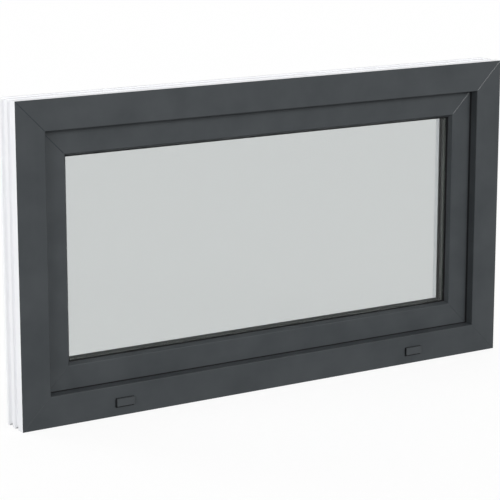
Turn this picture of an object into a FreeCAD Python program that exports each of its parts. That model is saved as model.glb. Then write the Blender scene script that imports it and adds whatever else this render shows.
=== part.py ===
import FreeCAD, Part
import math
import os

# Tilt and turn window of a 70 mm plastic profile system, seen shut.
# Millimetres. X runs along the width, Y through the wall (outside is -Y), Z is up.
# The origin is on the sill's underside, at the middle of the width and of the frame's depth.
# Sections are drawn in two measures: "inset" is the way in from the frame's outer edge, and
# "depth" is the way back from the frame's outside face.

# Overall size
window_width = 1200.0
window_height = 665.0

# Outer frame section
frame_depth = 70.0
frame_face = 66.0
frame_lip = 18.0
frame_lip_lean = 1.5
frame_lip_round = 2.5
rebate_rise = 20.0
drain_channel_width = 12.0
drain_channel_drop = 2.0
front_land = 21.0
front_groove = 12.5
middle_land = 12.5
rear_groove = 15.0
side_groove_depth = 5.0
side_groove_flank = 3.5
small_round = 1.0

# Hollow chambers of the profiles
profile_wall = 2.8
profile_web = 1.5
insulating_chamber = 7.0
rear_chamber = 13.0
bead_wall = 1.6

# Smallest length that counts
hair = 0.01

# Sash section
sash_depth = 70.0
seal_gap = 3.5
sash_lap = 8.0
flange_lap = 8.0
sash_rise = 63.0
sash_lip = 9.5
sash_bevel_width = 5.3
sash_bevel_depth = 8.0
sash_bevel_round = 2.5
flange_round = 3.0
glazing_rebate = 16.5
hardware_axis = 13.0
hardware_slot = 12.0
hardware_slot_depth = 9.0
hardware_step = 16.0
hardware_step_depth = 3.0

# Coloured foil on the outside faces
foil = 0.4

# Insulating glass unit
pane = 4.0
cavity = 16.0
glass_bite = 11.5
spacer_setback = 4.5
spacer_rise = 7.5
spacer_shoulder = 1.2

# Glazing beads
bead_rise = 19.0
bead_edge_rise = 6.0
bead_step = 1.0
bead_tip = 3.0
bead_round = 1.5
bead_end_play = 0.15

# Seals
seal_foot_width = 3.0
seal_foot_depth = 3.5
seal_tip = 1.6
glazing_seal = 3.0
seal_head = 8.0
glazing_seal_head = 9.0

# Drainage caps and slots in the sill
cap_width = 42.0
cap_height = 17.0
cap_plate = 3.6
cap_standoff = 2.4
cap_rim_inset = 3.0
cap_rim_wall = 1.6
cap_bevel = 1.2
cap_corner = 2.0
cap_from_side = 232.0
cap_from_bottom = 29.0
slot_width = 30.0
slot_height = 5.0
slot_depth = 9.0
cap_tab_width = 3.0
cap_tab_reach = 8.0
cap_tab_play = 0.3

# Hinges on the right jamb
hinge_axis_inset = 26.0
hinge_axis_proud = 12.0
knuckle_radius = 7.0
hinge_pin_radius = 3.0
hinge_pin_play = 0.1
hinge_pin_head = 2.5
hinge_pin_head_radius = 5.0
hinge_plate = 3.0
hinge_plate_width = 28.0
hinge_plate_height = 58.0
hinge_web = 11.0
bearing_height = 30.0
band_height = 40.0
knuckle_gap = 0.8
band_leaf_reach = 40.0
hinge_round = 2.0
lower_hinge_from_end = 46.0
upper_hinge_from_end = 120.0

# Handle on the left stile
handle_inset = 72.0
rose_width = 30.0
rose_height = 72.0
rose_thickness = 11.0
rose_bevel = 2.5
collar_radius = 11.5
collar_height = 1.6
neck_radius = 9.5
neck_length = 17.4
lever_length = 122.0
lever_root_width = 25.0
lever_end_width = 19.0
lever_thickness = 13.0
lever_round = 4.5
lever_back_bevel = 1.0
lever_end_flat = 1.5

# Places worked out from the sizes above
frame_front = -frame_depth / 2.0
rebate_floor = frame_face - rebate_rise
sash_front = frame_lip + seal_gap
sash_back = sash_front + sash_depth
sash_edge = frame_face - sash_lap
flange_edge = rebate_floor - flange_lap
flange_front = frame_depth + seal_gap
sash_tip = sash_edge + sash_rise
glazing_floor = sash_tip - glazing_rebate
outer_glass = sash_front + sash_lip + glazing_seal
inner_glass = outer_glass + pane + cavity
glass_back = inner_glass + pane
glass_edge = sash_tip - glass_bite
bead_front = glass_back + glazing_seal
bead_back = sash_back - bead_step
bead_top = glazing_floor + bead_rise
hardware_centre = flange_front - hardware_axis
deepest_inset = max(sash_tip, bead_top) + 2.0 * seal_tip
window_middle = FreeCAD.Vector(0, 0, window_height / 2.0)
across = FreeCAD.Vector(1, 0, 0)
through = FreeCAD.Vector(0, 1, 0)
upward = FreeCAD.Vector(0, 0, 1)


def rounded_face(corners):
    """Flat face from a list of (point, radius) corners, each rounded by a tangent arc."""
    turns = []
    for index, (point, radius) in enumerate(corners):
        before = (corners[index - 1][0] - point).normalize()
        after = (corners[(index + 1) % len(corners)][0] - point).normalize()
        half_angle = before.getAngle(after) / 2.0
        reach = radius / math.tan(half_angle)
        to_arc = radius / math.sin(half_angle) - radius
        middle = point + (before + after).normalize() * to_arc
        turns.append((point + before * reach, middle, point + after * reach))
    edges = []
    for index, (start, middle, end) in enumerate(turns):
        if corners[index][1] > 0:
            edges.append(Part.Arc(start, middle, end).toShape())
        next_start = turns[(index + 1) % len(turns)][0]
        if end.distanceToPoint(next_start) > hair:
            edges.append(Part.LineSegment(end, next_start).toShape())
    return Part.Face(Part.Wire(edges))


def section(points):
    """Profile section across a bar, from (inset, depth) or (inset, depth, radius) points."""
    corners = []
    for inset, depth, *radius in points:
        place = FreeCAD.Vector(0, frame_front + depth, inset)
        corners.append((place, radius[0] if radius else 0.0))
    return rounded_face(corners)


def plan(points):
    """Face seen from above, from (x, y) or (x, y, radius) points."""
    corners = []
    for x, y, *radius in points:
        corners.append((FreeCAD.Vector(x, y, 0), radius[0] if radius else 0.0))
    return rounded_face(corners)


def front_plate(width, height, corner, depth, thickness):
    """Upright rounded plate centred on the Y axis, from a depth towards the inside."""
    corners = []
    for side, end in ((-0.5, -0.5), (0.5, -0.5), (0.5, 0.5), (-0.5, 0.5)):
        place = FreeCAD.Vector(side * width, frame_front + depth, end * height)
        corners.append((place, corner))
    return rounded_face(corners).extrude(through * thickness)


def mitred_bar(profile, side_length, side_reach, end_play):
    """Bar of a profile along the sill side, mitred at both ends, about the window's middle."""
    run = profile.extrude(across * side_length)
    run.translate(FreeCAD.Vector(-side_length / 2.0, 0, -side_reach))
    spread = side_length / 2.0 - end_play
    outer = -side_reach
    inner = deepest_inset - side_reach
    trapezoid = Part.makePolygon([
        FreeCAD.Vector(-spread, frame_front, outer),
        FreeCAD.Vector(spread, frame_front, outer),
        FreeCAD.Vector(spread - deepest_inset, frame_front, inner),
        FreeCAD.Vector(deepest_inset - spread, frame_front, inner),
        FreeCAD.Vector(-spread, frame_front, outer),
    ])
    return run.common(Part.Face(trapezoid).extrude(through * sash_back))


def four_bars(profile, end_play=0.0):
    """The profile as four mitred bars, keyed by the side that each one is on."""
    bars = {}
    for side, turn in (("bottom", 0), ("right", -90), ("top", 180), ("left", 90)):
        lying = turn in (0, 180)
        length = window_width if lying else window_height
        reach = (window_height if lying else window_width) / 2.0
        bar = mitred_bar(profile, length, reach, end_play)
        bar.rotate(FreeCAD.Vector(0, 0, 0), through, turn)
        bar.translate(window_middle)
        bars[side] = bar
    return bars


def ring(profile):
    """The profile run round the window as one closed ring."""
    bars = list(four_bars(profile).values())
    return bars[0].fuse(bars[1:]).removeSplitter()


def frame_section(skin):
    """Outer frame section with its coloured faces set back by a skin thickness."""
    rear_groove_start = front_land + front_groove + middle_land
    points = [
        (0, skin),
        (frame_face - frame_lip_lean - skin, skin, frame_lip_round - skin),
        (frame_face - skin, frame_lip),
        (rebate_floor - drain_channel_drop, frame_lip),
        (rebate_floor - drain_channel_drop, frame_lip + drain_channel_width),
        (rebate_floor, frame_lip + drain_channel_width, small_round),
        (rebate_floor, frame_depth, small_round),
        (0, frame_depth, small_round),
    ]
    for start, width in ((rear_groove_start, rear_groove), (front_land, front_groove)):
        points += side_groove(start, width)
    return section(points)


def side_groove(start, width):
    """Corner points of one anchor groove with sloping flanks in the frame's outer side, back to front."""
    end = start + width
    return [
        (0, end),
        (side_groove_depth, end - side_groove_flank),
        (side_groove_depth, start + side_groove_flank),
        (0, start),
    ]


def chamber(inset_start, inset_end, depth_start, depth_end):
    """Rectangular hollow between two insets and two depths."""
    return section([
        (inset_start, depth_start),
        (inset_end, depth_start),
        (inset_end, depth_end),
        (inset_start, depth_end),
    ])


def frame_chambers():
    """Hollow chambers of the frame: behind the face, in the lip, then insulating, steel and rear."""
    floor = rebate_floor - drain_channel_drop - profile_wall
    inner_side = side_groove_depth + profile_wall
    face_end = front_land - profile_wall
    steel_front = face_end + profile_web + insulating_chamber + profile_web
    rear_end = frame_depth - profile_wall
    steel_end = rear_end - rear_chamber - profile_web
    lip_edge = frame_face - frame_lip_lean - profile_wall
    return [
        chamber(profile_wall, floor, profile_wall, face_end),
        chamber(floor + profile_web, lip_edge, profile_wall, frame_lip - seal_foot_depth - profile_wall),
        chamber(inner_side, floor, face_end + profile_web, steel_front - profile_web),
        chamber(inner_side, floor, steel_front, steel_end),
        chamber(inner_side, floor, steel_end + profile_web, rear_end),
    ]


def sash_chambers():
    """Hollow chambers of the sash: behind the face, beside the hardware groove, then steel and rear."""
    edge = sash_edge + profile_wall
    floor = glazing_floor - profile_wall
    face_start = sash_front + profile_wall
    face_end = face_start + insulating_chamber
    hardware_front = hardware_centre - hardware_step / 2.0 - profile_wall
    hardware_floor = sash_edge + hardware_step_depth + hardware_slot_depth + profile_wall
    rear_start = flange_front + seal_foot_depth + profile_wall
    return [
        chamber(edge, floor, face_start, face_end),
        chamber(edge, hardware_floor - profile_web, face_end + profile_web, hardware_front),
        chamber(hardware_floor, floor, face_end + profile_web, rear_start - profile_web),
        chamber(flange_edge + profile_wall, floor, rear_start, sash_back - profile_wall),
    ]


def bead_chamber():
    """Hollow chamber of a bead, with its slope beside the bead's own."""
    slope = (bead_rise - bead_edge_rise) / (bead_back - bead_front - bead_tip)
    start = bead_front + seal_foot_depth + bead_wall
    end = bead_back - bead_wall
    wall_across = bead_wall * math.hypot(1.0, slope)
    slope_start = bead_top - slope * (start - bead_front - bead_tip) - wall_across
    slope_end = bead_top - slope * (end - bead_front - bead_tip) - wall_across
    return section([
        (glazing_floor + bead_wall, start),
        (slope_start, start),
        (slope_end, end),
        (glazing_floor + bead_wall, end),
    ])


def sash_section(skin):
    """Sash section with its coloured faces set back by a skin thickness."""
    slot_half = hardware_slot / 2.0
    step_half = hardware_step / 2.0
    return section([
        (sash_edge, sash_front + skin),
        (sash_tip - sash_bevel_width - skin, sash_front + skin, sash_bevel_round - skin),
        (sash_tip - skin, sash_front + sash_bevel_depth),
        (sash_tip - skin, sash_front + sash_lip),
        (glazing_floor, sash_front + sash_lip),
        (glazing_floor, sash_back, small_round),
        (flange_edge, sash_back, flange_round),
        (flange_edge, flange_front, small_round),
        (sash_edge, flange_front),
        (sash_edge, hardware_centre + step_half),
        (sash_edge + hardware_step_depth, hardware_centre + step_half),
        (sash_edge + hardware_step_depth, hardware_centre + slot_half),
        (sash_edge + hardware_step_depth + hardware_slot_depth, hardware_centre + slot_half),
        (sash_edge + hardware_step_depth + hardware_slot_depth, hardware_centre - slot_half),
        (sash_edge + hardware_step_depth, hardware_centre - slot_half),
        (sash_edge + hardware_step_depth, hardware_centre - step_half),
        (sash_edge, hardware_centre - step_half),
    ])


def bead_section():
    """Glazing bead: upright edge beside the sash, then a slope up to a slim tip at the glass."""
    return section([
        (glazing_floor, bead_front),
        (bead_top, bead_front, bead_round / 2.0),
        (bead_top, bead_front + bead_tip, bead_round),
        (glazing_floor + bead_edge_rise, bead_back, bead_round),
        (glazing_floor, bead_back),
    ])


def seal_foot(inset, seat, reach):
    """Foot of a seal, from its seat on a bar into the groove of that bar."""
    return section([
        (inset, seat),
        (inset + seal_foot_width, seat),
        (inset + seal_foot_width, seat + reach),
        (inset, seat + reach),
    ])


def seal_sections():
    """Each seal's head and foot, keyed by the seal's name."""
    rebate_head = frame_face + seal_tip
    outer_head = sash_tip + seal_tip
    inner_head = bead_top + seal_tip
    outer_seat = sash_front + sash_lip
    return {
        "rebate_seal": (
            section([
                (rebate_head - seal_head, frame_lip),
                (frame_face, frame_lip),
                (rebate_head, frame_lip + seal_gap / 2.0),
                (rebate_head, sash_front),
                (rebate_head - seal_head, sash_front),
            ]),
            seal_foot(sash_edge + seal_foot_width, frame_lip, -seal_foot_depth),
        ),
        "overlap_seal": (
            section([
                (flange_edge + small_round, frame_depth),
                (rebate_floor - small_round, frame_depth),
                (rebate_floor - small_round, flange_front),
                (flange_edge + small_round, flange_front),
            ]),
            seal_foot(flange_edge + seal_foot_width, flange_front, seal_foot_depth),
        ),
        "outer_glazing_seal": (
            section([
                (outer_head - glazing_seal_head, outer_seat),
                (sash_tip - foil, outer_seat),
                (outer_head, outer_seat + glazing_seal / 2.0),
                (outer_head, outer_glass),
                (outer_head - glazing_seal_head, outer_glass),
            ]),
            seal_foot(outer_head - glazing_seal_head, outer_seat, -seal_foot_depth),
        ),
        "inner_glazing_seal": (
            section([
                (inner_head - glazing_seal_head, glass_back),
                (inner_head, glass_back),
                (inner_head, bead_front - glazing_seal / 2.0),
                (bead_top - bead_round, bead_front),
                (inner_head - glazing_seal_head, bead_front),
            ]),
            seal_foot(inner_head - glazing_seal_head, bead_front, seal_foot_depth),
        ),
    }


def spacer_section():
    """Spacer between the panes, with a sloped shoulder beside each pane."""
    outer_edge = glass_edge + spacer_setback
    inner_edge = outer_edge + spacer_rise
    front = outer_glass + pane
    return section([
        (outer_edge, front),
        (inner_edge - spacer_shoulder, front),
        (inner_edge, front + spacer_shoulder),
        (inner_edge, inner_glass - spacer_shoulder),
        (inner_edge - spacer_shoulder, inner_glass),
        (outer_edge, inner_glass),
    ])


def glass_pane(depth):
    """One sheet of glass, from a depth towards the inside."""
    width = window_width - 2.0 * glass_edge
    height = window_height - 2.0 * glass_edge
    sheet = front_plate(width, height, 0, depth, pane)
    sheet.translate(window_middle)
    return sheet


def slot_cutter():
    """Round-ended drain slot through the sill's outside wall, about the Y axis."""
    return front_plate(slot_width, slot_height, slot_height / 2.0, 0, slot_depth)


def drain_cap():
    """Cover plate on a rim that is open below, with two tabs into the slot, about the Y axis."""
    plate_front = -cap_standoff - cap_plate
    cover = front_plate(cap_width, cap_height, cap_corner, plate_front, cap_plate)
    outside = frame_front + plate_front + hair
    cover = cover.makeChamfer(cap_bevel, [edge for edge in cover.Edges if edge.BoundBox.YMax < outside])
    rim_width = cap_width - 2.0 * cap_rim_inset
    rim_height = cap_height - 2.0 * cap_rim_inset
    rim = front_plate(rim_width, rim_height, cap_corner / 2.0, -cap_standoff, cap_standoff)
    room = front_plate(rim_width - 2.0 * cap_rim_wall, rim_height, 0, -cap_standoff, cap_standoff)
    room.translate(upward * -cap_rim_wall)
    cap = cover.fuse(rim.cut(room))
    tab_height = slot_height - 2.0 * cap_tab_play
    tab_place = slot_width / 2.0 - slot_height / 2.0 - cap_tab_width / 2.0
    for side in (-1, 1):
        tab = front_plate(cap_tab_width, tab_height, 0, -cap_standoff, cap_standoff + cap_tab_reach)
        tab.translate(across * (side * tab_place))
        cap = cap.fuse(tab)
    return cap.removeSplitter()


def cap_places():
    """Where the two drain caps sit on the sill, keyed by side."""
    off_centre = window_width / 2.0 - cap_from_side
    return {
        "left": FreeCAD.Vector(-off_centre, 0, cap_from_bottom),
        "right": FreeCAD.Vector(off_centre, 0, cap_from_bottom),
    }


def hinge_axis_place(height):
    """Point on the hinge axis, beside the sash on the right jamb's inside face."""
    side = window_width / 2.0 - hinge_axis_inset
    return FreeCAD.Vector(side, frame_front + frame_depth + hinge_axis_proud, height)


def hinge_bearing(height):
    """Frame half of a hinge: base plate on the jamb, web and bored knuckle."""
    axis = hinge_axis_place(height)
    plate_back = frame_front + frame_depth
    plate_side = axis.x - hinge_web / 2.0 - small_round
    plate = plan([
        (plate_side, plate_back),
        (plate_side + hinge_plate_width, plate_back),
        (plate_side + hinge_plate_width, plate_back + hinge_plate, hinge_round),
        (plate_side, plate_back + hinge_plate, hinge_round),
    ]).extrude(upward * hinge_plate_height)
    web = plan([
        (axis.x - hinge_web / 2.0, plate_back),
        (axis.x + hinge_web / 2.0, plate_back),
        (axis.x + hinge_web / 2.0, axis.y),
        (axis.x - hinge_web / 2.0, axis.y),
    ]).extrude(upward * bearing_height)
    body = plate.fuse(web)
    body.translate(upward * height)
    return bored_knuckle(body, axis, bearing_height)


def hinge_band(height):
    """Sash half of a hinge: knuckle, arm round the sash flange and leaf on the sash."""
    axis = hinge_axis_place(height)
    leaf_back = frame_front + sash_back
    arm_side = axis.x - hinge_web / 2.0
    arm = plan([
        (axis.x + hinge_web / 2.0, axis.y),
        (axis.x + hinge_web / 2.0, leaf_back + hinge_plate, 2.0 * hinge_round),
        (arm_side - band_leaf_reach, leaf_back + hinge_plate, hinge_round),
        (arm_side - band_leaf_reach, leaf_back),
        (arm_side, leaf_back),
        (arm_side, axis.y),
    ]).extrude(upward * band_height)
    arm.translate(upward * height)
    return bored_knuckle(arm, axis, band_height)


def bored_knuckle(body, axis, height):
    """The body with a round knuckle on the hinge axis, bored for the pin."""
    knuckle = Part.makeCylinder(knuckle_radius, height, axis, upward)
    bore = Part.makeCylinder(hinge_pin_radius + hinge_pin_play, height, axis, upward)
    return body.fuse(knuckle).cut(bore).removeSplitter()


def hinge_pin(height):
    """Pin through both knuckles, with a round head seated on the upper one."""
    axis = hinge_axis_place(height)
    length = bearing_height + knuckle_gap + band_height
    shank = Part.makeCylinder(hinge_pin_radius, length, axis, upward)
    head = Part.makeCylinder(hinge_pin_head_radius, hinge_pin_head, axis + upward * length, upward)
    return shank.fuse(head).removeSplitter()


def handle_rose():
    """Round-ended plate on the stile, bevelled round its front edge, with a low round collar."""
    rose = front_plate(rose_width, rose_height, rose_width / 2.0, sash_back, rose_thickness)
    room_side = frame_front + sash_back + rose_thickness - hair
    rose = rose.makeChamfer(rose_bevel, [edge for edge in rose.Edges if edge.BoundBox.YMin > room_side])
    collar_base = FreeCAD.Vector(0, frame_front + sash_back + rose_thickness, 0)
    rose = rose.fuse(Part.makeCylinder(collar_radius, collar_height, collar_base, through))
    rose.translate(handle_place())
    return rose


def handle_lever():
    """Lever hanging down from a round neck, in the shut position."""
    neck_front = sash_back + rose_thickness + collar_height
    neck_base = FreeCAD.Vector(0, frame_front + neck_front, 0)
    neck = Part.makeCylinder(neck_radius, neck_length + lever_thickness / 2.0, neck_base, through)
    top = lever_root_width / 2.0
    bottom = top - lever_length
    grip_front = frame_front + neck_front + neck_length
    outline = []
    for width, height, side in (
        (lever_root_width, top, -0.5),
        (lever_root_width, top, 0.5),
        (lever_end_width, bottom, 0.5),
        (lever_end_width, bottom, -0.5),
    ):
        place = FreeCAD.Vector(side * width, grip_front, height)
        outline.append((place, (width - lever_end_flat) / 2.0))
    grip = rounded_face(outline).extrude(through * lever_thickness)
    room_side = grip_front + lever_thickness - hair
    window_side = grip_front + hair
    grip = grip.makeFillet(lever_round, [edge for edge in grip.Edges if edge.BoundBox.YMin > room_side])
    grip = grip.makeChamfer(
        lever_back_bevel, [edge for edge in grip.Edges if edge.BoundBox.YMax < window_side]
    )
    lever = grip.fuse(neck).removeSplitter()
    lever.translate(handle_place())
    return lever


def handle_place():
    """Middle of the handle: across the left stile and half way up the window."""
    return FreeCAD.Vector(handle_inset - window_width / 2.0, 0, window_height / 2.0)


def build():
    """All pieces of the window, keyed by node name."""
    pieces = {}
    frame_names = {"bottom": "sill", "top": "head", "left": "left_jamb", "right": "right_jamb"}
    sash_names = {"bottom": "bottom_rail", "top": "top_rail", "left": "left_stile", "right": "right_stile"}
    seals = seal_sections()

    frame_body = frame_section(foil).cut([seals["rebate_seal"][1]] + frame_chambers())
    frame_skin = frame_section(0.0).cut(frame_section(foil))
    skins = four_bars(frame_skin)
    for side, bar in four_bars(frame_body).items():
        pieces["frame_" + frame_names[side]] = bar
        pieces["frame_foil_" + frame_names[side]] = skins[side]

    sash_feet = [seals["overlap_seal"][1], seals["outer_glazing_seal"][1]]
    sash_body = sash_section(foil).cut(sash_feet + sash_chambers())
    sash_skin = sash_section(0.0).cut(sash_section(foil))
    skins = four_bars(sash_skin)
    for side, bar in four_bars(sash_body).items():
        pieces["sash_" + sash_names[side]] = bar
        pieces["sash_foil_" + sash_names[side]] = skins[side]

    bead = bead_section().cut([seals["inner_glazing_seal"][1], bead_chamber()])
    for side, bar in four_bars(bead, bead_end_play).items():
        pieces["glazing_bead_" + side] = bar

    for name, (head, foot) in seals.items():
        pieces[name] = ring(head.fuse(foot).removeSplitter())

    pieces["outer_pane"] = glass_pane(outer_glass)
    pieces["inner_pane"] = glass_pane(inner_glass)
    pieces["spacer_bar"] = ring(spacer_section())

    for side, place in cap_places().items():
        cap = drain_cap()
        cap.translate(place)
        pieces["drain_cap_" + side] = cap
        slot = slot_cutter()
        slot.translate(place)
        for name in ("frame_sill", "frame_foil_sill"):
            pieces[name] = pieces[name].cut(slot)

    upper_hinge = window_height - upper_hinge_from_end
    for name, height in (("lower", lower_hinge_from_end), ("upper", upper_hinge)):
        pieces[name + "_hinge_bearing"] = hinge_bearing(height)
        pieces[name + "_hinge_band"] = hinge_band(height + bearing_height + knuckle_gap)
        pieces[name + "_hinge_pin"] = hinge_pin(height)

    pieces["handle_rose"] = handle_rose()
    pieces["handle_lever"] = handle_lever()
    return pieces


def export():
    """One file for each piece."""
    os.makedirs("parts", exist_ok=True)
    for name, shape in build().items():
        solids = shape.Solids
        solid = solids[0] if len(solids) == 1 else Part.makeCompound(solids)
        solid.exportStep("parts/" + name + ".step")
        print(name, "solids", len(solids), "volume", round(shape.Volume), "valid", shape.isValid())


export()
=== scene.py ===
import functools
import logging
import math
from dataclasses import dataclass, replace
from enum import Enum

import bmesh
import bpy
from mathutils import Matrix, Vector


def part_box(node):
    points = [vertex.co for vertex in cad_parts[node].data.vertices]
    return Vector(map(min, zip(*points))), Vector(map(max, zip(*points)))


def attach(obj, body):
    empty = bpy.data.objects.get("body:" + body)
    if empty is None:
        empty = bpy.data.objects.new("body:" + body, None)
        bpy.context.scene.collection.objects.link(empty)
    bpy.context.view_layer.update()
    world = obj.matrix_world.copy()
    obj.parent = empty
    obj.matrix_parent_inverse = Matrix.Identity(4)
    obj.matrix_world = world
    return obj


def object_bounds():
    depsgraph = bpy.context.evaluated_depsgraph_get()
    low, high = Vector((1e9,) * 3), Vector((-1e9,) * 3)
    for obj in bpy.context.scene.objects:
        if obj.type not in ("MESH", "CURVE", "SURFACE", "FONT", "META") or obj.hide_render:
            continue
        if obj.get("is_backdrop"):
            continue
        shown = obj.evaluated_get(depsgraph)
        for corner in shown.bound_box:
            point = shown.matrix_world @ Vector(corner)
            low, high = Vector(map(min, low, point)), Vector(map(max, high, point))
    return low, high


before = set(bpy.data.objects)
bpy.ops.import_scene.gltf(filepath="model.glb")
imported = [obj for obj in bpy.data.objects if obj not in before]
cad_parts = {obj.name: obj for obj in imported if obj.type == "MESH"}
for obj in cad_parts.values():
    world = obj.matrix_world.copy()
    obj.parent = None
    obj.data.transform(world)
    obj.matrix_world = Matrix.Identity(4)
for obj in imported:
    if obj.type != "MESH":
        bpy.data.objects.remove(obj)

# Tilt and turn window, in metres: X along the width, outside towards -Y, Z up.

log = logging.getLogger("window")

Colour = tuple[float, float, float]
Range = tuple[float, float]
MILLIMETRE = 0.001
BODY = "root"
WHITE = (1.0, 1.0, 1.0, 1.0)
ACROSS_AXIS = Vector((1.0, 0.0, 0.0))
UP_AXIS = Vector((0.0, 0.0, 1.0))
# Corners closer than this become one
MERGE = 0.001 * MILLIMETRE
# Colour sockets of a Mix node: its two inputs and its output
MIX_FIRST, MIX_SECOND, MIX_RESULT = 6, 7, 2
# Range that soft noise mostly keeps to
NOISE_RANGE = (0.3, 0.7)
# How much a pattern of hair lines is drawn out along its bar
LINE_STRETCH = 0.0006
# Turn about X at which a camera looks level, in degrees
LEVEL_TURN = 90.0


class Run(Enum):
    """Way in which a bar of the window runs."""

    ACROSS = "across"
    UPRIGHT = "upright"


class Side(Enum):
    """Side of the window that a bar stands on."""

    BOTTOM = "bottom"
    TOP = "top"
    LEFT = "left"
    RIGHT = "right"

    @property
    def run(self) -> Run:
        """Way in which the bar on this side runs."""
        return Run.ACROSS if self in (Side.BOTTOM, Side.TOP) else Run.UPRIGHT


class Facing(Enum):
    """Way in which a face of the window looks."""

    OUTSIDE = -1.0
    ROOM = 1.0


FRAME_BARS = {
    Side.BOTTOM: "sill",
    Side.TOP: "head",
    Side.LEFT: "left_jamb",
    Side.RIGHT: "right_jamb",
}
SASH_BARS = {
    Side.BOTTOM: "bottom_rail",
    Side.TOP: "top_rail",
    Side.LEFT: "left_stile",
    Side.RIGHT: "right_stile",
}


class Graph:
    """Places nodes in one shader tree and wires them."""

    def __init__(self, tree: bpy.types.NodeTree) -> None:
        """Keeps the tree that the nodes go into."""
        self.tree = tree

    def add(
        self, kind: str, inputs: dict[str | int, object] | None = None, **settings: object
    ) -> bpy.types.Node:
        """Places one node.

        Args:
            kind: Node type, without its leading "ShaderNode".
            inputs: Value or source socket for each named or numbered input.
            settings: Properties of the node itself.

        Returns:
            The node.
        """
        node = self.tree.nodes.new("ShaderNode" + kind)
        for name, value in settings.items():
            setattr(node, name, value)
        for key, value in (inputs or {}).items():
            self.feed(node.inputs[key], value)
        return node

    def feed(self, socket: bpy.types.NodeSocket, value: object) -> None:
        """Sets an input, or wires it where the value is a socket.

        Args:
            socket: Input of a node.
            value: Plain value, or the output that is wired to the input.
        """
        if isinstance(value, bpy.types.NodeSocket):
            self.tree.links.new(value, socket)
        else:
            socket.default_value = value

    def math(self, operation: str, first: object, second: object = 0.0) -> bpy.types.NodeSocket:
        """Result of one sum on two values or sockets."""
        return self.add("Math", {0: first, 1: second}, operation=operation).outputs[0]

    def noise(self, position: object, scale: object, detail: float) -> bpy.types.NodeSocket:
        """Soft noise over a position, about one half on average."""
        inputs = {"Vector": position, "Scale": scale, "Detail": detail}
        return self.add("TexNoise", inputs).outputs[0]

    def ramp(
        self,
        value: object,
        source: Range,
        target: tuple[object, object],
        curve: str = "LINEAR",
    ) -> bpy.types.NodeSocket:
        """Value moved from one range to another, and held inside it.

        Args:
            value: Value or socket.
            source: Ends of the range that the value comes from.
            target: Ends of the range that it goes to, each a value or a socket.
            curve: How it goes from one end to the other.

        Returns:
            The moved value.
        """
        inputs = {0: value, 1: source[0], 2: source[1], 3: target[0], 4: target[1]}
        return self.add("MapRange", inputs, interpolation_type=curve).outputs[0]

    def blend(self, share: object, first: object, second: object) -> bpy.types.NodeSocket:
        """Colour that goes from one paint to another.

        Args:
            share: Share of the second paint.
            first: Colour or socket that shows where the share is nothing.
            second: Colour or socket that shows where the share is one.

        Returns:
            The blended colour.
        """
        inputs = {0: share}
        for place, paint in ((MIX_FIRST, first), (MIX_SECOND, second)):
            inputs[place] = (*paint, 1.0) if isinstance(paint, tuple) else paint
        return self.add("Mix", inputs, data_type="RGBA").outputs[MIX_RESULT]

    def shaded(self, colour: bpy.types.NodeSocket, shade: object) -> bpy.types.NodeSocket:
        """Colour made darker by a factor, for painted shade."""
        inputs = {0: 1.0, MIX_FIRST: colour, MIX_SECOND: shade}
        return self.add("Mix", inputs, data_type="RGBA", blend_type="MULTIPLY").outputs[MIX_RESULT]

    def position(self, stretch: Colour = (1.0, 1.0, 1.0)) -> bpy.types.NodeSocket:
        """Place on the piece, stretched by a factor along each axis."""
        place = self.add("TexCoord").outputs["Object"]
        return self.add("Mapping", {"Vector": place, "Scale": stretch}).outputs[0]

    def facing(self, axis: str = "Y") -> bpy.types.NodeSocket:
        """How far a face looks along an axis: on Y, one is the room and minus one outside."""
        normal = self.add("NewGeometry").outputs["Normal"]
        return self.add("SeparateXYZ", {0: normal}).outputs[axis]

    def effect(self, group: bpy.types.NodeTree, **inputs: object) -> bpy.types.NodeSocket:
        """Places a shared effect with its own values.

        Args:
            group: Tree of the effect.
            inputs: Value or source socket for each input, by its name in small letters.

        Returns:
            The effect's output.
        """
        node = self.tree.nodes.new("ShaderNodeGroup")
        node.node_tree = group
        for name, value in inputs.items():
            self.feed(node.inputs[name.capitalize()], value)
        return node.outputs[0]

    def drift(
        self, position: object, scale: float, span: Range = (0.0, 1.0)
    ) -> bpy.types.NodeSocket:
        """Slow, cloudy change over a surface between two values."""
        low, high = span
        return self.effect(Drift.group(), position=position, scale=scale, low=low, high=high)

    def bump(self, height: bpy.types.NodeSocket, depth: float) -> bpy.types.NodeSocket:
        """Normal of a surface with a fine relief of a depth in metres."""
        return self.add("Bump", {"Height": height, "Distance": depth}).outputs[0]


class Effect:
    """Shader node group with named inputs and one output, built once and shared."""

    name = "effect"
    inputs: dict[str, str] = {}
    outputs: dict[str, str] = {}

    @classmethod
    @functools.cache
    def group(cls) -> bpy.types.NodeTree:
        """Builds the group the first time it is asked for.

        Returns:
            The group's tree.
        """
        tree = bpy.data.node_groups.new(cls.name, "ShaderNodeTree")
        for way, sockets in (("INPUT", cls.inputs), ("OUTPUT", cls.outputs)):
            for name, kind in sockets.items():
                tree.interface.new_socket(name, in_out=way, socket_type="NodeSocket" + kind)
        source = tree.nodes.new("NodeGroupInput")
        sink = tree.nodes.new("NodeGroupOutput")
        cls.wire(Graph(tree), source.outputs, sink.inputs)
        return tree

    @classmethod
    def wire(cls, graph: Graph, source: object, sink: object) -> None:
        """Wires the group's inputs to its output."""
        raise NotImplementedError


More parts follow.
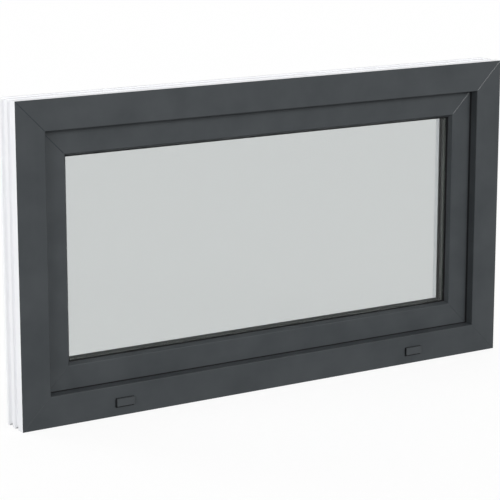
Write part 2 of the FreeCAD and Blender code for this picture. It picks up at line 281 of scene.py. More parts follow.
class FineGrain(Effect):
    """Close sandy relief of an embossed foil or a moulded skin."""

    name = "fine_grain"
    inputs = {"Position": "Vector", "Scale": "Float"}
    outputs = {"Height": "Float"}
    finer = 2.3
    detail = 3.0

    @classmethod
    def wire(cls, graph: Graph, source: object, sink: object) -> None:
        """Adds small cells to a finer noise.

        Args:
            graph: Graph of the group.
            source: Sockets that the group's inputs come from.
            sink: Sockets that its output goes to.
        """
        cells = graph.add("TexVoronoi", {"Vector": source["Position"], "Scale": source["Scale"]})
        finer = graph.math("MULTIPLY", source["Scale"], cls.finer)
        dust = graph.noise(source["Position"], finer, cls.detail)
        graph.feed(sink["Height"], graph.math("ADD", cells.outputs["Distance"], dust))


class Drift(Effect):
    """Slow, cloudy change over a surface, between two values."""

    name = "drift"
    inputs = {"Position": "Vector", "Scale": "Float", "Low": "Float", "High": "Float"}
    outputs = {"Value": "Float"}
    detail = 3.0

    @classmethod
    def wire(cls, graph: Graph, source: object, sink: object) -> None:
        """Stretches a soft noise between the two values.

        Args:
            graph: Graph of the group.
            source: Sockets that the group's inputs come from.
            sink: Sockets that its output goes to.
        """
        cloud = graph.noise(source["Position"], source["Scale"], cls.detail)
        value = graph.ramp(cloud, NOISE_RANGE, (source["Low"], source["High"]))
        graph.feed(sink["Value"], value)


class DrawnLines(Effect):
    """Hair lines that a die leaves along a drawn bar."""

    name = "drawn_lines"
    inputs = {"Position": "Vector", "Scale": "Float"}
    outputs = {"Height": "Float"}
    broad_detail = 1.0
    narrow_detail = 2.0
    finer = 5.0
    narrow_share = 0.4

    @classmethod
    def wire(cls, graph: Graph, source: object, sink: object) -> None:
        """Adds broad lines to narrow ones.

        Args:
            graph: Graph of the group.
            source: Sockets that the group's inputs come from.
            sink: Sockets that its output goes to.
        """
        broad = graph.noise(source["Position"], source["Scale"], cls.broad_detail)
        finer = graph.math("MULTIPLY", source["Scale"], cls.finer)
        narrow = graph.noise(source["Position"], finer, cls.narrow_detail)
        faint = graph.math("MULTIPLY", narrow, cls.narrow_share)
        graph.feed(sink["Height"], graph.math("ADD", broad, faint))


def along(run: Run) -> Colour:
    """Stretch of a position that draws a pattern out along a bar.

    Args:
        run: Way in which the bar runs.

    Returns:
        Factor along each axis.
    """
    if run is Run.ACROSS:
        return (LINE_STRETCH, 1.0, 1.0)
    return (1.0, 1.0, LINE_STRETCH)


class Finish:
    """Look of one surface: a material that is made once and shared."""

    def name(self) -> str:
        """Name of the material."""
        raise NotImplementedError

    def wire(self, graph: Graph) -> bpy.types.NodeSocket:
        """Wires the shader and gives its output."""
        raise NotImplementedError

    @functools.cache
    def material(self) -> bpy.types.Material:
        """Makes the material the first time it is asked for.

        Returns:
            The material.
        """
        made = bpy.data.materials.new(self.name())
        made.use_nodes = True
        made.node_tree.nodes.clear()
        graph = Graph(made.node_tree)
        graph.add("OutputMaterial", {"Surface": self.wire(graph)})
        return made


@dataclass(frozen=True)
class FoilFinish(Finish):
    """Matt dark grey foil with a close sandy emboss, and painted shade on its slopes."""

    part: str
    run: Run
    painted_slope_shade: float
    slope_peak: float = 0.25
    dark: Colour = (0.0405, 0.0460, 0.0500)
    light: Colour = (0.0515, 0.0575, 0.0620)
    tone_scale: float = 14.0
    gloss: Range = (0.50, 0.60)
    gloss_scale: float = 160.0
    specular: float = 0.16
    grain_scale: float = 1900.0
    grain_depth: float = 0.00004

    def name(self) -> str:
        """Name of the material."""
        return self.part + "_foil_" + self.run.value

    def wire(self, graph: Graph) -> bpy.types.NodeSocket:
        """Wires cloudy tone, painted shade on slopes, uneven gloss and sandy relief into the
        shader.

        Args:
            graph: Graph of the material.

        Returns:
            The shader's output.
        """
        place = graph.position()
        drawn = graph.position(along(self.run))
        tone = graph.drift(place, self.tone_scale)
        grain = graph.effect(FineGrain.group(), position=place, scale=self.grain_scale)
        # Painted shade: faces that lean between outward and sideways are darkened.
        flat = graph.math("ABSOLUTE", graph.facing())
        slope = graph.math("MULTIPLY", flat, graph.math("SUBTRACT", 1.0, flat))
        shade = graph.ramp(slope, (0.0, self.slope_peak), (1.0, self.painted_slope_shade))
        return graph.add("BsdfPrincipled", {
            "Base Color": graph.shaded(graph.blend(tone, self.dark, self.light), shade),
            "Roughness": graph.drift(drawn, self.gloss_scale, self.gloss),
            "Specular IOR Level": self.specular,
            "Normal": graph.bump(grain, self.grain_depth),
        }).outputs[0]


@dataclass(frozen=True)
class ProfileFinish(Finish):
    """Satin white plastic with hair lines along the bar, and painted light in the anchor grooves
    of a jamb.
    """

    run: Run
    outline: Range | None = None
    dark: Colour = (0.800, 0.810, 0.836)
    light: Colour = (0.838, 0.845, 0.868)
    tone_scale: float = 9.0
    gloss: Range = (0.31, 0.37)
    gloss_scale: float = 240.0
    specular: float = 0.45
    line_scale: float = 900.0
    line_depth: float = 0.000002
    groove_painted_light: Colour = (0.858, 0.866, 0.889)
    groove_start: float = 1.0 * MILLIMETRE
    groove_end: float = 8.0 * MILLIMETRE
    groove_facing: float = 0.9

    def name(self) -> str:
        """Name of the material."""
        return ("painted_groove_light" if self.outline else "satin") + "_profile_" + self.run.value

    def groove_light_share(self, graph: Graph, place: bpy.types.NodeSocket) -> bpy.types.NodeSocket:
        """Share of a place that lies in a jamb's grooves, where painted light goes, by its way in
        from the window's outline.

        Args:
            graph: Graph of the material.
            place: Position on the piece.

        Returns:
            One in the grooves, and nothing elsewhere.
        """
        low, high = self.outline
        way = graph.add("SeparateXYZ", {0: place}).outputs["X"]
        off_middle = graph.math("ABSOLUTE", graph.math("SUBTRACT", way, (low + high) / 2.0))
        inward = graph.math("SUBTRACT", (high - low) / 2.0, off_middle)
        share = graph.ramp(inward, (0.0, self.groove_start), (0.0, 1.0))
        near = graph.math("LESS_THAN", inward, self.groove_end)
        through = graph.math("ABSOLUTE", graph.facing())
        sideways = graph.math("LESS_THAN", through, self.groove_facing)
        return graph.math("MULTIPLY", share, graph.math("MULTIPLY", near, sideways))

    def wire(self, graph: Graph) -> bpy.types.NodeSocket:
        """Wires cloudy tone, drawn gloss and hair lines into the shader, with painted light in the
        grooves.

        Args:
            graph: Graph of the material.

        Returns:
            The shader's output.
        """
        place = graph.position()
        drawn = graph.position(along(self.run))
        lines = graph.effect(DrawnLines.group(), position=drawn, scale=self.line_scale)
        colour = graph.blend(graph.drift(place, self.tone_scale), self.dark, self.light)
        if self.outline:
            # Painted light: the grooves are paler to lift the shade inside them.
            colour = graph.blend(self.groove_light_share(graph, place), colour, self.groove_painted_light)
        return graph.add("BsdfPrincipled", {
            "Base Color": colour,
            "Roughness": graph.drift(drawn, self.gloss_scale, self.gloss),
            "Specular IOR Level": self.specular,
            "Normal": graph.bump(lines, self.line_depth),
        }).outputs[0]


@dataclass(frozen=True)
class MouldedFinish(Finish):
    """Moulded or enamelled skin with a fine texture, with painted shade on its sides where asked
    for.
    """

    title: str
    dark: Colour
    light: Colour
    gloss: Range
    grain_scale: float
    grain_depth: float
    specular: float = 0.5
    painted_side_shade: float = 1.0
    painted_side_facing: Range = (0.50, 0.90)
    tone_scale: float = 60.0
    gloss_scale: float = 210.0

    def name(self) -> str:
        """Name of the material."""
        return self.title

    def wire(self, graph: Graph) -> bpy.types.NodeSocket:
        """Wires cloudy tone, painted shade on the sides, uneven gloss and grain into the shader.

        Args:
            graph: Graph of the material.

        Returns:
            The shader's output.
        """
        place = graph.position()
        tone = graph.drift(place, self.tone_scale)
        grain = graph.effect(FineGrain.group(), position=place, scale=self.grain_scale)
        # Painted shade: faces turned sideways are darkened by the side shade.
        flat = graph.math("ABSOLUTE", graph.facing())
        shade = graph.ramp(flat, self.painted_side_facing, (self.painted_side_shade, 1.0))
        return graph.add("BsdfPrincipled", {
            "Base Color": graph.shaded(graph.blend(tone, self.dark, self.light), shade),
            "Roughness": graph.drift(place, self.gloss_scale, self.gloss),
            "Specular IOR Level": self.specular,
            "Normal": graph.bump(grain, self.grain_depth),
        }).outputs[0]


@dataclass(frozen=True)
class GlassFinish(Finish):
    """Clear float glass, greener at its cut edge, that lets lamps through."""

    face: Colour = (0.758, 0.772, 0.770)
    edge: Colour = (0.240, 0.430, 0.360)
    edge_facing: float = 0.5
    bend: float = 1.3

    def name(self) -> str:
        """Name of the material."""
        return "float_glass"

    def wire(self, graph: Graph) -> bpy.types.NodeSocket:
        """Wires the glass, and a clear way through it for lamps.

        Args:
            graph: Graph of the material.

        Returns:
            The shader's output.
        """
        through = graph.math("ABSOLUTE", graph.facing())
        cut_edge = graph.math("LESS_THAN", through, self.edge_facing)
        glass = graph.add("BsdfPrincipled", {
            "Base Color": graph.blend(cut_edge, self.face, self.edge),
            "Roughness": 0.0,
            "IOR": self.bend,
            "Transmission Weight": 1.0,
        }).outputs[0]
        clear = graph.add("BsdfTransparent", {"Color": (*self.face, 1.0)}).outputs[0]
        lamp_ray = graph.add("LightPath").outputs["Is Shadow Ray"]
        return graph.add("MixShader", {0: lamp_ray, 1: glass, 2: clear}).outputs[0]


@dataclass(frozen=True)
class SpacerFinish(Finish):
    """Dark matt spacer with a painted highlight along a rib, brighter on the upright bars, rows of
    breathing holes and black sealant at the outer pane.
    """

    middle: float
    dark: Colour = (0.030, 0.033, 0.031)
    light: Colour = (0.036, 0.040, 0.037)
    rib_highlight_across: Colour = (0.028, 0.031, 0.029)
    rib_highlight_upright: Colour = (0.100, 0.106, 0.102)
    hole: Colour = (0.010, 0.011, 0.010)
    sealant: Colour = (0.006, 0.006, 0.006)
    tone_scale: float = 40.0
    gloss: Range = (0.66, 0.78)
    gloss_scale: float = 300.0
    specular: float = 0.03
    rib_place: float = 0.6 * MILLIMETRE
    rib_reach: float = 1.0 * MILLIMETRE
    body_reach: float = 7.2 * MILLIMETRE
    hole_pitch: float = 2.4 * MILLIMETRE
    hole_radius: float = 0.45 * MILLIMETRE
    hole_depth: float = 0.2 * MILLIMETRE
    row_pitch: float = 6.0 * MILLIMETRE

    def name(self) -> str:
        """Name of the material."""
        return "spacer_matt"

    def cell(self, graph: Graph, place: object, pitch: float) -> bpy.types.NodeSocket:
        """Way from the middle of a repeated cell along one axis.

        Args:
            graph: Graph of the material.
            place: Place along the axis.
            pitch: Length of one cell.

        Returns:
            The way, which is nothing in the middle of each cell.
        """
        inside = graph.math("WRAP", place, pitch / 2.0)
        inside.node.inputs[2].default_value = -pitch / 2.0
        return inside

    def in_hole(self, graph: Graph, axes: object) -> bpy.types.NodeSocket:
        """Tells the breathing holes from the rest.

        Args:
            graph: Graph of the material.
            axes: Place along each axis.

        Returns:
            One in the holes, and nothing elsewhere.
        """
        length = graph.math("ADD", axes["X"], axes["Z"])
        across = graph.math("POWER", self.cell(graph, axes["Y"], self.row_pitch), 2.0)
        step = graph.math("POWER", self.cell(graph, length, self.hole_pitch), 2.0)
        reach = graph.math("SQRT", graph.math("ADD", across, step))
        return graph.math("LESS_THAN", reach, self.hole_radius)

    def wire(self, graph: Graph) -> bpy.types.NodeSocket:
        """Wires the rib's painted highlight, holes and sealant over a softly uneven grey.

        Args:
            graph: Graph of the material.

        Returns:
            The shader's output.
        """
        place = graph.position()
        axes = graph.add("SeparateXYZ", {0: place}).outputs
        colour = graph.blend(graph.drift(place, self.tone_scale), self.dark, self.light)
        outward = graph.math("SUBTRACT", self.middle, axes["Y"])
        # Painted highlight: a band along the rib, lighter on bars that stand upright.
        off_rib = graph.math("ABSOLUTE", graph.math("SUBTRACT", outward, self.rib_place))
        on_rib_highlight = graph.math("LESS_THAN", off_rib, self.rib_reach)
        upright = graph.math("ABSOLUTE", graph.facing("X"))
        rib = graph.blend(upright, self.rib_highlight_across, self.rib_highlight_upright)
        in_hole = self.in_hole(graph, axes)
        at_pane = graph.math("GREATER_THAN", outward, self.body_reach)
        for share, paint in ((on_rib_highlight, rib), (in_hole, self.hole), (at_pane, self.sealant)):
            colour = graph.blend(share, colour, paint)
        relief = graph.math("SUBTRACT", 1.0, in_hole)
        return graph.add("BsdfPrincipled", {
            "Base Color": colour,
            "Roughness": graph.drift(place, self.gloss_scale, self.gloss),
            "Specular IOR Level": self.specular,
            "Normal": graph.bump(relief, self.hole_depth),
        }).outputs[0]


@dataclass(frozen=True)
class SteelFinish(Finish):
    """Bright turned steel of pins and screws."""

    dark: Colour = (0.42, 0.42, 0.42)
    light: Colour = (0.60, 0.60, 0.59)
    tone_scale: float = 300.0
    gloss: Range = (0.22, 0.38)
    gloss_scale: float = 900.0
    line_stretch: Colour = (0.1, 0.1, 1.0)
    line_scale: float = 2500.0
    line_depth: float = 0.00002

    def name(self) -> str:
        """Name of the material."""
        return "turned_steel"

    def wire(self, graph: Graph) -> bpy.types.NodeSocket:
        """Wires fine turning lines into bright metal.

        Args:
            graph: Graph of the material.

        Returns:
            The shader's output.
        """
        place = graph.position()
        turned = graph.position(self.line_stretch)
        tone = graph.drift(place, self.tone_scale)
        lines = graph.effect(DrawnLines.group(), position=turned, scale=self.line_scale)
        return graph.add("BsdfPrincipled", {
            "Base Color": graph.blend(tone, self.dark, self.light),
            "Metallic": 1.0,
            "Roughness": graph.drift(place, self.gloss_scale, self.gloss),
            "Normal": graph.bump(lines, self.line_depth),
        }).outputs[0]


HARDWARE = MouldedFinish(
    title="white_enamel",
    dark=(0.780, 0.790, 0.805),
    light=(0.815, 0.825, 0.838),
    gloss=(0.22, 0.32),
    grain_scale=700.0,
    grain_depth=0.000003,
)
CAP_PLASTIC = MouldedFinish(
    title="cap_plastic",
    dark=(0.042, 0.047, 0.051),
    light=(0.048, 0.054, 0.058),
    gloss=(0.42, 0.52),
    grain_scale=2400.0,
    grain_depth=0.00003,
    specular=0.22,
    # Painted shade on the cap's sides.
    painted_side_shade=0.40,
)
RUBBER = MouldedFinish(
    title="seal_rubber",
    dark=(0.008, 0.008, 0.009),
    light=(0.012, 0.012, 0.013),
    gloss=(0.66, 0.78),
    grain_scale=1500.0,
    grain_depth=0.00004,
    specular=0.08,
)
GREY_RUBBER = replace(
    RUBBER,
    title="grey_seal_rubber",
    dark=(0.130, 0.137, 0.133),
    light=(0.150, 0.157, 0.153),
)
# Darker lacquer of the upper weld seams: the seam is real, its dark tone partly painted shade.
SEAM_LACQUER_PAINTED_SHADE = MouldedFinish(
    title="seam_lacquer",
    dark=(0.025, 0.030, 0.034),
    light=(0.031, 0.037, 0.042),
    gloss=(0.22, 0.28),
    grain_scale=2600.0,
    grain_depth=0.00001,
    specular=0.20,
)
FAINT_LACQUER = replace(
    SEAM_LACQUER_PAINTED_SHADE,
    title="faint_seam_lacquer",
    dark=(0.038, 0.043, 0.047),
    light=(0.045, 0.051, 0.055),
    gloss=(0.42, 0.50),
    specular=0.16,
)


def dress(node: str, finish: Finish) -> None:
    """Puts a finish on a piece of the frame model.

    Args:
        node: Name of the piece.
        finish: Look of its whole surface.
    """
    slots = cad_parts[node].data.materials
    slots.clear()
    slots.append(finish.material())
    log.info("dressed %s in %s", node, finish.name())


def make_piece(mesh: bmesh.types.BMesh, name: str, slot: str, *finishes: Finish) -> None:
    """Turns a finished mesh into a piece that rides on the window.

    Args:
        mesh: Shape of the piece in its place. It is freed here.
        name: Name of the piece.
        slot: Material slot of the record that the finishes come from; not used.
        finishes: Looks that its faces choose from, by number.
    """
    bmesh.ops.remove_doubles(mesh, verts=mesh.verts, dist=MERGE)
    bmesh.ops.recalc_face_normals(mesh, faces=mesh.faces)
    data = bpy.data.meshes.new(name)
    mesh.to_mesh(data)
    mesh.free()
    for finish in finishes:
        data.materials.append(finish.material())
    piece = bpy.data.objects.new(name, data)
    bpy.context.scene.collection.objects.link(piece)
    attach(piece, BODY)
    log.info("made %s with %d faces", name, len(data.polygons))


def new_corners(geometry: list) -> list[bmesh.types.BMVert]:
    """The corners among what an operator made."""
    return [item for item in geometry if isinstance(item, bmesh.types.BMVert)]


def open_edges(corners: list[bmesh.types.BMVert]) -> list[bmesh.types.BMEdge]:
    """The edges at some corners that have a face on one side only."""
    return [edge for edge in {e for vert in corners for e in vert.link_edges} if edge.is_boundary]


def faces_at(corners: list[bmesh.types.BMVert]) -> list[bmesh.types.BMFace]:
    """The faces that meet at some corners, each once."""
    return list({face for vert in corners for face in vert.link_faces})


def add_sheet(
    mesh: bmesh.types.BMesh, width: float, height: float
) -> list[bmesh.types.BMVert]:
    """Adds a flat sheet in X and Y about the origin.

    Args:
        mesh: Mesh that the sheet is added to.
        width: Length along X.
        height: Length along Y.

    Returns:
        The corners of the sheet.
    """
    sheet = bmesh.ops.create_grid(mesh, x_segments=1, y_segments=1, size=0.5)["verts"]
    bmesh.ops.scale(mesh, vec=(width, height, 1.0), verts=sheet)
    return sheet


def raise_faces(
    mesh: bmesh.types.BMesh, faces: list[bmesh.types.BMFace], height: float
) -> list[bmesh.types.BMVert]:
    """Raises flat faces along Z into a closed block.

    Args:
        mesh: Mesh that the faces are in.
        faces: Faces to raise. They stay as the underside.
        height: How far they are raised.

    Returns:
        The corners of the raised side.
    """
    tops = new_corners(bmesh.ops.extrude_face_region(mesh, geom=faces)["geom"])
    bmesh.ops.translate(mesh, vec=(0.0, 0.0, height), verts=tops)
    return tops


def frame_axes(side_axis: Vector, up_axis: Vector, place: Vector) -> Matrix:
    """Turns a shape drawn in X and Y, and raised along Z, into its place.

    Args:
        side_axis: Where the shape's X goes.
        up_axis: Where the shape's Y goes.
        place: Where the shape's origin goes.

    Returns:
        The move as one matrix.
    """
    along_axis = side_axis.cross(up_axis)
    turn = Matrix((side_axis, up_axis, along_axis)).transposed().to_4x4()
    return Matrix.Translation(place) @ turn


@dataclass
class CornerSeams:
    """Low weld seams along the four mitres of a ring of bars."""

    name: str
    upper_finish: Finish
    lower_finish: Finish
    slot: str
    facing: Facing
    outer: float
    inner: float
    depth: float
    width: float = 2.0 * MILLIMETRE
    height: float = 0.35 * MILLIMETRE
    sides: int = 4

    def build(self) -> None:
        """Makes the four seams as one piece."""
        low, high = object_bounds()
        mesh = bmesh.new()
        for side in (-1.0, 1.0):
            for end in (-1.0, 1.0):
                corner = Vector((
                    high.x if side > 0 else low.x,
                    self.depth,
                    high.z if end > 0 else low.z,
                ))
                seam = self.add_seam(mesh, corner, Vector((-side, 0.0, -end)))
                # Upper seams take the darker lacquer, partly painted shade; lower seams the faint
                # one.
                for face in faces_at(seam):
                    face.material_index = 0 if end > 0 else 1
        make_piece(mesh, self.name, self.slot, self.upper_finish, self.lower_finish)

    def add_seam(
        self, mesh: bmesh.types.BMesh, corner: Vector, inward: Vector
    ) -> list[bmesh.types.BMVert]:
        """Adds one seam, a flattened bar from the corner towards the middle.

        Args:
            mesh: Mesh that the seam is added to.
            corner: Outer corner of the window in the plane of the face.
            inward: Diagonal way in from that corner.

        Returns:
            The corners of the seam.
        """
        circle = bmesh.ops.create_circle(
            mesh, cap_ends=True, radius=self.width / 2.0, segments=self.sides
        )["verts"]
        bmesh.ops.scale(mesh, vec=(1.0, 2.0 * self.height / self.width, 1.0), verts=circle)
        length = (self.inner - self.outer) * inward.length
        tip = raise_faces(mesh, faces_at(circle), length)
        up = Vector((0.0, self.facing.value, 0.0))
        way = inward.normalized()
        place = frame_axes(up.cross(way), up, corner + inward * self.outer)
        bmesh.ops.transform(mesh, matrix=place, verts=circle + tip)
        return circle + tip


@dataclass
class ScrewHeads:
    """Low cross-slotted screw heads, all looking into the room."""

    name: str
    places: list[Vector]
    radius: float = 3.6 * MILLIMETRE
    sides: int = 12
    rise: float = 1.5 * MILLIMETRE
    rim: float = 0.6 * MILLIMETRE
    slot_half: float = 1.9 * MILLIMETRE
    slot_depth: float = 0.9 * MILLIMETRE
    slot_cells: int = 3

    def build(self) -> None:
        """Makes the screw heads as one piece."""
        mesh = bmesh.new()
        for place in self.places:
            self.add_head(mesh, place)
        make_piece(mesh, self.name, "pin_steel", SteelFinish())

    def add_head(self, mesh: bmesh.types.BMesh, place: Vector) -> None:
        """Adds one head: a crossed top, a round brim, a straight skirt and a flat underside.

        Args:
            mesh: Mesh that the head is added to.
            place: Middle of the head's underside.
        """
        cells = self.slot_cells
        top = bmesh.ops.create_grid(
            mesh, x_segments=cells, y_segments=cells, size=self.slot_half
        )["verts"]
        bmesh.ops.translate(mesh, vec=(0.0, 0.0, self.rise), verts=top)
        top_edges = open_edges(top)
        arms = [face for face in faces_at(top) if self.is_arm(face)]
        brim = bmesh.ops.create_circle(mesh, radius=self.radius, segments=self.sides)["verts"]
        turn = Matrix.Rotation(math.pi / self.sides, 3, "Z")
        bmesh.ops.rotate(mesh, matrix=turn, verts=brim)
        bmesh.ops.translate(mesh, vec=(0.0, 0.0, self.rise - self.rim), verts=brim)
        brim_edges = list({edge for vert in brim for edge in vert.link_edges})
        bmesh.ops.bridge_loops(mesh, edges=top_edges + brim_edges)
        hem = new_corners(bmesh.ops.extrude_edge_only(mesh, edges=brim_edges)["geom"])
        bmesh.ops.translate(mesh, vec=(0.0, 0.0, self.rim - self.rise), verts=hem)
        bmesh.ops.edgeloop_fill(mesh, edges=open_edges(hem))
        floor = raise_faces(mesh, arms, -self.slot_depth)
        bmesh.ops.delete(mesh, geom=arms, context="FACES_ONLY")
        to_room = frame_axes(ACROSS_AXIS, -UP_AXIS, place)
        bmesh.ops.transform(mesh, matrix=to_room, verts=list({*top, *brim, *hem, *floor}))

    def is_arm(self, face: bmesh.types.BMFace) -> bool:
        """True for the five middle faces of the top, which make the cross."""
        middle = face.calc_center_median()
        return min(abs(middle.x), abs(middle.y)) < self.slot_half / self.slot_cells


@dataclass
class OuterFrame:
    """Welded white frame with foil on its outside face."""

    seam_start: float = 1.0 * MILLIMETRE
    seam_end: float = 3.0 * MILLIMETRE
    # Painted shade on the foil's rounded lip edge.
    painted_lip_shade: float = 0.58

    def build(self) -> None:
        """Makes the weld seams at the mitres, on both faces."""
        low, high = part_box("frame_foil_sill")
        white = ProfileFinish(Run.ACROSS)
        CornerSeams(
            name="frame_outside_seams",
            upper_finish=SEAM_LACQUER_PAINTED_SHADE,
            lower_finish=FAINT_LACQUER,
            slot="anthracite_foil",
            facing=Facing.OUTSIDE,
            outer=self.seam_start,
            inner=high.z - self.seam_end,
            depth=low.y,
        ).build()
        CornerSeams(
            name="frame_room_seams",
            upper_finish=white,
            lower_finish=white,
            slot="white_profile",
            facing=Facing.ROOM,
            outer=self.seam_start,
            inner=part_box("sash_bottom_rail")[0].z,
            depth=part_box("frame_sill")[1].y,
        ).build()

    def dress(self) -> None:
        """Puts foil and white profile on the bars."""
        low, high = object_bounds()
        for side, bar in FRAME_BARS.items():
            outline = (low.x, high.x) if side.run is Run.UPRIGHT else None
            dress("frame_" + bar, ProfileFinish(side.run, outline))
            dress("frame_foil_" + bar, FoilFinish("frame", side.run, self.painted_lip_shade))


@dataclass
class Sash:
    """Welded white sash with foil on its outside face, and its glazing beads."""

    seam_start: float = 4.0 * MILLIMETRE
    seam_end: float = 7.0 * MILLIMETRE
    # Painted shade on the foil's bevel.
    painted_bevel_shade: float = 0.76

    def build(self) -> None:
        """Makes the weld seams at the mitres, on both faces."""
        low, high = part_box("sash_foil_bottom_rail")
        bar_low, bar_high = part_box("sash_bottom_rail")
        white = ProfileFinish(Run.ACROSS)
        CornerSeams(
            name="sash_outside_seams",
            upper_finish=SEAM_LACQUER_PAINTED_SHADE,
            lower_finish=FAINT_LACQUER,
            slot="anthracite_foil",
            facing=Facing.OUTSIDE,
            outer=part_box("frame_foil_sill")[1].z,
            inner=high.z - self.seam_end,
            depth=low.y,
        ).build()
        CornerSeams(
            name="sash_room_seams",
            upper_finish=white,
            lower_finish=white,
            slot="white_profile",
            facing=Facing.ROOM,
            outer=bar_low.z + self.seam_start,
            inner=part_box("glazing_bead_bottom")[0].z,
            depth=bar_high.y,
        ).build()

    def dress(self) -> None:
        """Puts foil and white profile on the bars and beads."""
        for side, bar in SASH_BARS.items():
            dress("sash_" + bar, ProfileFinish(side.run))
            dress("sash_foil_" + bar, FoilFinish("sash", side.run, self.painted_bevel_shade))
            dress("glazing_bead_" + side.value, ProfileFinish(side.run))


@dataclass
class GlassUnit:
    """Two panes with a spacer bar between them, and the seals of the window."""

    panes: tuple[str, ...] = ("outer_pane", "inner_pane")
    black_seals: tuple[str, ...] = ("rebate_seal", "overlap_seal", "outer_glazing_seal")
    grey_seal: str = "inner_glazing_seal"
    lip_start: float = 0.4 * MILLIMETRE
    lip_rise: float = 2.0 * MILLIMETRE
    lip_depth: float = 1.1 * MILLIMETRE
    lip_play: float = 0.05 * MILLIMETRE

    def build(self) -> None:
        """Makes the lip of the outer seal that stands up against the outer pane."""
        low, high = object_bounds()
        middle = (low + high) / 2.0
        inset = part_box("sash_foil_bottom_rail")[1].z - low.z + self.lip_start
        mesh = bmesh.new()
        add_sheet(mesh, high.x - low.x - 2.0 * inset, high.z - low.z - 2.0 * inset)
        opening = list(mesh.faces)
        strip = bmesh.ops.inset_region(
            mesh, faces=opening, thickness=self.lip_rise, use_boundary=True, use_even_offset=True
        )["faces"]
        bmesh.ops.delete(mesh, geom=opening, context="FACES")
        raise_faces(mesh, strip, self.lip_depth)
        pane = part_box(self.panes[0])[0].y - self.lip_play
        place = frame_axes(ACROSS_AXIS, UP_AXIS, Vector((middle.x, pane, middle.z)))
        bmesh.ops.transform(mesh, matrix=place, verts=mesh.verts)
        make_piece(mesh, "outer_seal_lip", "black_rubber", RUBBER)

    def dress(self) -> None:
        """Puts glass on the panes, dark matt on the spacer and rubber on the seals."""
        for pane in self.panes:
            dress(pane, GlassFinish())
        low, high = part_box("spacer_bar")
        dress("spacer_bar", SpacerFinish((low.y + high.y) / 2.0))
        for seal in self.black_seals:
            dress(seal, RUBBER)
        dress(self.grey_seal, GREY_RUBBER)


@dataclass
class DrainCaps:
    """Covers over the drain slots in the sill, with painted shadow round them."""

    sides: tuple[str, ...] = ("left", "right")
    # Black sheet round each cap: painted shadow, wider below.
    rim: float = 0.25 * MILLIMETRE
    shadow_below: float = 3.0 * MILLIMETRE
    shadow_rise: float = 0.3 * MILLIMETRE
    shadow_bite: float = 0.1 * MILLIMETRE

    def build(self) -> None:
        """Makes thin black sheets round the caps as painted shadow, deeper below."""
        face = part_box("frame_foil_sill")[0].y
        mesh = bmesh.new()
        for side in self.sides:
            low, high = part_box("drain_cap_" + side)
            bottom, top = low.z - self.shadow_below, high.z + self.rim
            sheet = add_sheet(mesh, high.x - low.x + 2.0 * self.rim, top - bottom)
            raised = raise_faces(mesh, faces_at(sheet), self.shadow_rise + self.shadow_bite)
            middle = Vector(((low.x + high.x) / 2.0, face + self.shadow_bite, (bottom + top) / 2.0))
            place = frame_axes(ACROSS_AXIS, UP_AXIS, middle)
            bmesh.ops.transform(mesh, matrix=place, verts=sheet + raised)
        # The sheets use black rubber as painted shadow.
        make_piece(mesh, "drain_cap_painted_shadow", "black_rubber", RUBBER)

    def dress(self) -> None:
        """Puts moulded plastic on the caps."""
        for side in self.sides:
            dress("drain_cap_" + side, CAP_PLASTIC)


@dataclass
class Hinges:
    """Lower and upper hinge on the right jamb, with their screws."""

    names: tuple[str, ...] = ("lower", "upper")
    plate: float = 3.0 * MILLIMETRE
    screw_from_side: float = 8.0 * MILLIMETRE
    screw_from_end: float = 12.0 * MILLIMETRE
    band_screw_gap: float = 20.0 * MILLIMETRE

    def build(self) -> None:
        """Makes the screws of both hinges."""
        for name in self.names:
            low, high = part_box(name + "_hinge_bearing")
            side, face = high.x - self.screw_from_side, low.y + self.plate
            places = [
                Vector((side, face, low.z + self.screw_from_end)),
                Vector((side, face, high.z - self.screw_from_end)),
            ]
            low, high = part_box(name + "_hinge_band")
            middle = (low.z + high.z) / 2.0
            for step in (0.0, self.band_screw_gap):
                places.append(Vector((low.x + self.screw_from_side + step, high.y, middle)))
            ScrewHeads(name + "_hinge_screws", places).build()

    def dress(self) -> None:
        """Puts white enamel on the hinges and steel on their pins."""
        for name in self.names:
            dress(name + "_hinge_bearing", HARDWARE)
            dress(name + "_hinge_band", HARDWARE)
            dress(name + "_hinge_pin", SteelFinish())


@dataclass
class Handle:
    """Rose and lever on the left stile, on the room side."""

    pieces: tuple[str, ...] = ("handle_rose", "handle_lever")

    def dress(self) -> None:
        """Puts white enamel on the handle."""
        for piece in self.pieces:
            dress(piece, HARDWARE)


def seen_rays(graph: Graph) -> bpy.types.NodeSocket:
    """Tells the rays that show the background: straight, mirrored or through glass.

    Args:
        graph: Graph of the material or world.

    Returns:
        One for those rays, and nothing for the rest.
    """
    path = graph.add("LightPath").outputs
    mirrored = graph.math("MAXIMUM", path["Is Camera Ray"], path["Is Glossy Ray"])
    return graph.math("MAXIMUM", mirrored, path["Is Transmission Ray"])


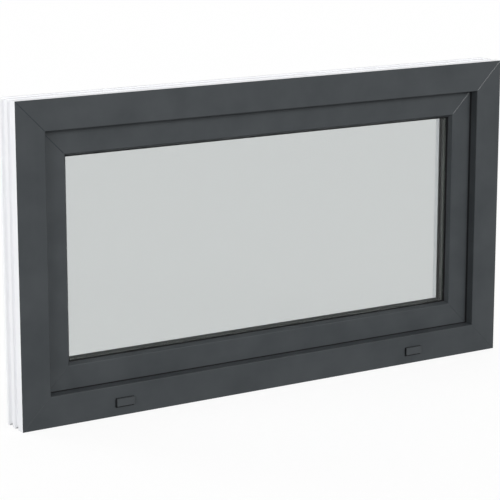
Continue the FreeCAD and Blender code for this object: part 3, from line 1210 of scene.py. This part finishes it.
@dataclass(frozen=True)
class FloorFinish(Finish):
    """Pale floor that keeps a soft shadow near the window and fades to white away from it."""

    seen: Colour = (0.90, 0.90, 0.90)
    unseen: Colour = (0.14, 0.14, 0.14)
    fade: Range = (0.5, 1.6)
    white_share: Range = (0.90, 0.996)

    def name(self) -> str:
        """Name of the material."""
        return "studio_floor"

    def wire(self, graph: Graph) -> bpy.types.NodeSocket:
        """Mixes white into the floor for the rays that see it, more of it further out.

        Args:
            graph: Graph of the material.

        Returns:
            The shader's output.
        """
        place = graph.position()
        reach = graph.add("VectorMath", {0: place}, operation="LENGTH").outputs["Value"]
        white_share = graph.ramp(reach, self.fade, self.white_share, "SMOOTHERSTEP")
        seen = seen_rays(graph)
        share = graph.math("MULTIPLY", seen, white_share)
        paint = graph.blend(seen, self.unseen, self.seen)
        plain = graph.add("BsdfDiffuse", {"Color": paint}).outputs[0]
        white = graph.add("Emission", {"Color": WHITE, "Strength": 1.0}).outputs[0]
        return graph.add("MixShader", {0: share, 1: plain, 2: white}).outputs[0]


@dataclass(frozen=True)
class Lamp:
    """Large soft lamp that looks at the window, and may be left out of its gloss."""

    name: str
    place: tuple[float, float, float]
    size: float
    watts: float
    in_gloss: bool = False


@dataclass
class Studio:
    """Floor, soft light and the camera of the photograph."""

    floor_half: float = 30.0
    floor_drop: float = 0.5 * MILLIMETRE
    ambient: float = 0.34
    lamps: tuple[Lamp, ...] = (
        Lamp("key_lamp", (3.1, -6.9, 3.9), size=2.6, watts=256.0, in_gloss=True),
        Lamp("front_lamp", (1.4, -8.4, 2.75), size=2.4, watts=268.0, in_gloss=True),
        Lamp("fill_lamp", (-4.6, -2.8, 1.6), size=2.4, watts=92.0),
        Lamp("side_lamp", (-5.0, 0.3, 1.3), size=2.4, watts=70.0),
        Lamp("room_lamp", (-2.6, 3.8, 1.7), size=2.4, watts=105.0),
        Lamp("hinge_lamp", (3.8, 2.6, 1.4), size=2.4, watts=90.0),
    )
    camera_place: tuple[float, float, float] = (-2.2699, -3.5009, 1.2132)
    camera_yaw: float = 32.475
    camera_pitch: float = 12.402
    camera_lens: float = 144.31
    camera_sensor: float = 36.0

    def build(self) -> None:
        """Makes the floor, the light and the camera."""
        self.build_floor()
        self.build_world()
        self.build_lamps()
        self.build_camera()

    def build_floor(self) -> None:
        """Makes a wide floor just under the sill."""
        mesh = bmesh.new()
        bmesh.ops.create_grid(mesh, x_segments=1, y_segments=1, size=self.floor_half)
        bmesh.ops.translate(mesh, vec=(0.0, 0.0, -self.floor_drop), verts=mesh.verts)
        data = bpy.data.meshes.new("floor")
        mesh.to_mesh(data)
        mesh.free()
        data.materials.append(FloorFinish().material())
        floor = bpy.data.objects.new("floor", data)
        bpy.context.scene.collection.objects.link(floor)
        floor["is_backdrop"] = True

    def build_world(self) -> None:
        """Makes a world that shows white and lights at a plain level."""
        world = bpy.data.worlds.new("studio")
        world.use_nodes = True
        world.node_tree.nodes.clear()
        graph = Graph(world.node_tree)
        strength = graph.ramp(seen_rays(graph), (0.0, 1.0), (self.ambient, 1.0))
        sky = graph.add("Background", {"Color": WHITE, "Strength": strength})
        graph.add("OutputWorld", {"Surface": sky.outputs[0]})
        bpy.context.scene.world = world

    def build_lamps(self) -> None:
        """Makes the soft lamps, aimed at the middle of the window."""
        low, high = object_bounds()
        middle = (low + high) / 2.0
        for lamp in self.lamps:
            data = bpy.data.lights.new(lamp.name, "AREA")
            data.shape = "DISK"
            data.size = lamp.size
            data.energy = lamp.watts
            made = bpy.data.objects.new(lamp.name, data)
            made.location = lamp.place
            made.visible_glossy = lamp.in_gloss
            aim = middle - Vector(lamp.place)
            made.rotation_euler = aim.to_track_quat("-Z", "Y").to_euler()
            bpy.context.scene.collection.objects.link(made)

    def build_camera(self) -> None:
        """Makes the camera at the place and lens worked out from the photograph."""
        data = bpy.data.cameras.new("camera")
        data.sensor_width = self.camera_sensor
        data.lens = self.camera_lens
        made = bpy.data.objects.new("camera", data)
        made.location = self.camera_place
        tilt = math.radians(LEVEL_TURN - self.camera_pitch)
        made.rotation_euler = (tilt, 0.0, math.radians(-self.camera_yaw))
        bpy.context.scene.collection.objects.link(made)
        bpy.context.scene.camera = made


def main() -> None:
    """Dresses the window and sets up the studio."""
    logging.basicConfig(level=logging.INFO, format="%(message)s")
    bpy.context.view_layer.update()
    outer_frame, sash, glass_unit = OuterFrame(), Sash(), GlassUnit()
    drain_caps, hinges = DrainCaps(), Hinges()
    for assembly in (outer_frame, sash, glass_unit, drain_caps, hinges):
        assembly.build()
    for assembly in (outer_frame, sash, glass_unit, drain_caps, hinges, Handle()):
        assembly.dress()
    Studio().build()
    bpy.context.scene.view_settings.view_transform = "Standard"


if __name__ == "__main__":
    main()
